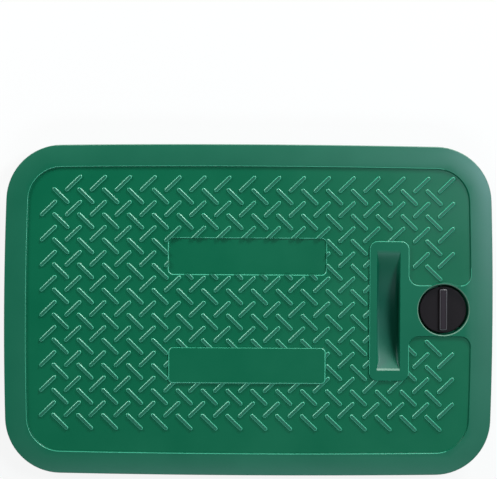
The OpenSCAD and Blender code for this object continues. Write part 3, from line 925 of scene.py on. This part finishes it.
def bars(places, slant):
    """Stadium rings: two half circles of radius r whose centres lie a fixed way apart. A row of
    RINGS is such a radius and its height above the field, from the buried foot to the top."""
    a = np.radians(np.linspace(-90, 90, 6))
    reach = BAR / 2 - FOOT_R
    x = RINGS[:, :1] * np.cos(a) + reach
    y = RINGS[:, :1] * np.sin(a)
    x, y = np.hstack([x, -x]), np.hstack([y, -y])
    z = np.broadcast_to(RINGS[:, 1:] + FIELD, x.shape)
    c, s = math.cos(math.radians(slant)), math.sin(math.radians(slant))
    one = np.stack([c * x - s * y, s * x + c * y, z], axis=2)
    points = one[None] + np.pad(places, ((0, 0), (0, 1)))[:, None, None, :]
    for x0, y0, w, h in STOPPED_BY:
        box = (x0 - w / 2, x0 + w / 2, y0 - h / 2, y0 + h / 2)
        points = pull_out(points, np.array([c, s]), box)
    return points


print("ring heights", (RINGS[:, 1] + FIELD).tolist())

# %% Faces of the bars
tread_faces = 0
for places, slant in ((falling, -SLANT), (rising, SLANT)):
    points = bars(places, slant)
    n, rings, m = points.shape[:3]
    base = (np.arange(n) * rings * m)[:, None, None]
    i, j = np.arange(rings - 1)[None, :, None] * m, np.arange(m)[None, None, :]
    k = (j + 1) % m
    quads = np.stack([base + i + j, base + i + k, base + i + m + k, base + i + m + j], axis=-1)
    tops = base[:, 0] + (rings - 1) * m + np.arange(m)
    feet = base[:, 0] + np.arange(m)[::-1]
    faces = quads.reshape(-1, 4).tolist() + tops.tolist() + feet.tolist()
    bands = np.broadcast_to(RING_BANDS[None, :, None], quads.shape[:3]).ravel()
    lid.add(points.reshape(-1, 3), faces, np.concatenate([bands, np.full(2 * n, WALKED_F)]))
    tread_faces += len(faces)
print("tread", tread_faces, "faces")

# %% The lid as one piece
add_piece("lid_moulding", lid, greens, "lid", "green_plastic", "lid")

# %% [markdown]
# ## Lock knob
#
# The knob is a nylon disc with a grip bar across it, a round stem that turns in the hub and a
# square end for the cam. The disc and the stem are one turned section. The grip bar is a small
# section carried round a long rounded rectangle, so its foot runs into the disc with a fillet, as
# the mould makes it. The bar's top is paler where it is handled, and its edges get a paler finish
# as a painted highlight.

# %% Knob
Z_DISC, Z_GRIP = 31.4, 35.4
Z_SHOULDER, Z_SQUARE = 26.3, 15.7  # below the disc, and the square's foot
STEM_IN, DISC_IN, GRIP_OUT, GRIP_IN, SQUARE_IN = 7.0, 22.0, 1.5, 1.4, 1.2
knob = Surface()
grip_path = rounded_box(*LOCK, 7.2, 41.0, 1.6, steps=4)
grip_section = soften([(GRIP_OUT, Z_DISC, 0), (0.6, Z_DISC, 0.5), (0.0, Z_GRIP, 0.9),
                       (-GRIP_IN, Z_GRIP, 0)])
# The grip's rounded edges get the paler painted highlight.
knob.carry(grip_path, grip_section, highlight_legs(grip_section, NYLON_F, BLACK_HIGHLIGHT_F))
knob.flat([offset(grip_path, -GRIP_IN)], Z_GRIP, GRIP_F)
knob_section = soften([(STEM_IN, Z_CAM, 0), (8.0, Z_CAM, 0.5), (8.0, Z_SHOULDER, 0.4),
                       (23.5, Z_SHOULDER, 0.7), (23.5, Z_DISC, 1.0), (DISC_IN, Z_DISC, 0)], steps=5)
knob.carry(axis, knob_section, NYLON_F)
knob.flat([offset(axis, DISC_IN), offset(grip_path, GRIP_OUT)], Z_DISC, NYLON_F)
knob.flat([offset(axis, STEM_IN)], Z_CAM, NYLON_F, up=False)
square = rounded_box(*LOCK, 11.0, 11.0, 0.8, steps=3)
square_top = Z_CAM + 0.4
knob.carry(square, soften([(-SQUARE_IN, Z_SQUARE, 0), (0, Z_SQUARE, 0.5), (0, square_top, 0)]),
           NYLON_F)
knob.flat([offset(square, -SQUARE_IN)], Z_SQUARE, NYLON_F, up=False)
knob.flat([offset(square, 0)], square_top, NYLON_F)
add_piece("lock_knob_moulding", knob, blacks, "lock", "black_plastic", "lock_knob")

# %% Hardware below the lid keeps its CAD shape and gets its finish
for node, finish in (("lock_cam", black_nylon), ("cam_washer", zinc), ("cam_screw", zinc)):
    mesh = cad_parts[node].data
    mesh.materials.clear()
    mesh.materials.append(finish)
    print(node, "finished with", finish.name)

# %% [markdown]
# ## Floor, light and camera
#
# The cover lies on a white table under a camera that looks straight down, a third of a degree
# askew. The table's whiteness is partly a glow that only the camera sees, so the table can be
# nearly white without lighting the cover from below.
#
# Four soft lights do the rest. The key stands high on the right and hazes the right side of
# the rim and the field. A low one beyond the far side draws the bright lines along the far
# edges of the bars. A low one at the upper left lights the edges that face left. A wide one
# on the near side hazes the near strip. The room itself is all but dark.

# %% Floor
HALF_FLOOR, BELOW, GLOW = 6.0, 2e-4, 0.85
floor_mesh = bpy.data.meshes.new("floor")
floor_mesh.from_pydata(
    [(x * HALF_FLOOR, y * HALF_FLOOR, -BELOW) for x, y in ((-1, -1), (1, -1), (1, 1), (-1, 1))],
    [], [(0, 1, 2, 3)])
floor = bpy.data.objects.new("floor", floor_mesh)
bpy.context.scene.collection.objects.link(floor)
white = bpy.data.materials.new("white_table")
white.use_nodes = True
nodes, links = white.node_tree.nodes, white.node_tree.links
shader = nodes["Principled BSDF"]
shader.inputs["Base Color"].default_value = (0.80, 0.80, 0.80, 1)
shader.inputs["Roughness"].default_value = 0.9
glow = nodes.new("ShaderNodeEmission")
seen = nodes.new("ShaderNodeMath")
seen.operation = "MULTIPLY"
seen.inputs[1].default_value = GLOW
links.new(nodes.new("ShaderNodeLightPath").outputs["Is Camera Ray"], seen.inputs[0])
blend = nodes.new("ShaderNodeMixShader")
links.new(seen.outputs[0], blend.inputs[0])
links.new(shader.outputs[0], blend.inputs[1])
links.new(glow.outputs[0], blend.inputs[2])
links.new(blend.outputs[0], nodes["Material Output"].inputs["Surface"])
floor_mesh.materials.append(white)
print("floor", HALF_FLOOR * 2, "m across")


# %% Lights
AIMED_AT = Vector((0.0, 0.0, 0.03))


def soft_light(name, azimuth, elevation, away, size, watts, colour=(1.0, 1.0, 1.0)):
    """Rectangular area light that faces the cover, at polar angles in degrees: the azimuth
    counts from +X towards +Y, the elevation from the table. size is (across, upwards)."""
    a, e = math.radians(azimuth), math.radians(elevation)
    way = Vector((math.cos(e) * math.cos(a), math.cos(e) * math.sin(a), math.sin(e)))
    lamp = bpy.data.lights.new(name, "AREA")
    lamp.shape = "RECTANGLE"
    lamp.size, lamp.size_y = size
    lamp.energy = watts
    lamp.color = colour
    holder = bpy.data.objects.new(name, lamp)
    holder.location = AIMED_AT + way * away
    holder.rotation_euler = way.to_track_quat("Z", "Y").to_euler()
    bpy.context.scene.collection.objects.link(holder)


COOL = (0.82, 0.97, 1.0)
soft_light("key", 24, 57, 1.9, (0.45, 0.45), 16.0, COOL)
soft_light("upper left", 142, 22, 1.3, (0.5, 0.4), 8.5)
soft_light("far side", 62, 22, 1.8, (0.5, 0.4), 24.0)
soft_light("near side", 272, 51, 1.6, (1.5, 0.4), 8.8, COOL)
world = bpy.data.worlds.new("studio")
bpy.context.scene.world = world
world.use_nodes = True
world.node_tree.nodes["Background"].inputs["Color"].default_value = (1, 1, 1, 1)
world.node_tree.nodes["Background"].inputs["Strength"].default_value = 0.055
print("lights set")

# %% Camera
SENSOR, ABOVE, SEEN, ASKEW = 36.0, 1.30, 0.497, 0.33  # mm, m above the rim, m across, degrees
camera = bpy.data.cameras.new("camera")
eye = bpy.data.objects.new("camera", camera)
bpy.context.scene.collection.objects.link(eye)
camera.sensor_width = SENSOR
camera.lens = SENSOR * ABOVE / SEEN
camera.clip_start, camera.clip_end = 0.05, 50.0
eye.location = (-0.0002, 0.07045, ABOVE + TOP * METRES)
eye.rotation_euler = (0.0, 0.0, math.radians(ASKEW))
bpy.context.scene.camera = eye
bpy.context.scene.view_settings.view_transform = "Standard"
print("camera", tuple(round(c, 4) for c in eye.location))

# %% Sizes, and done
bpy.context.view_layer.update()
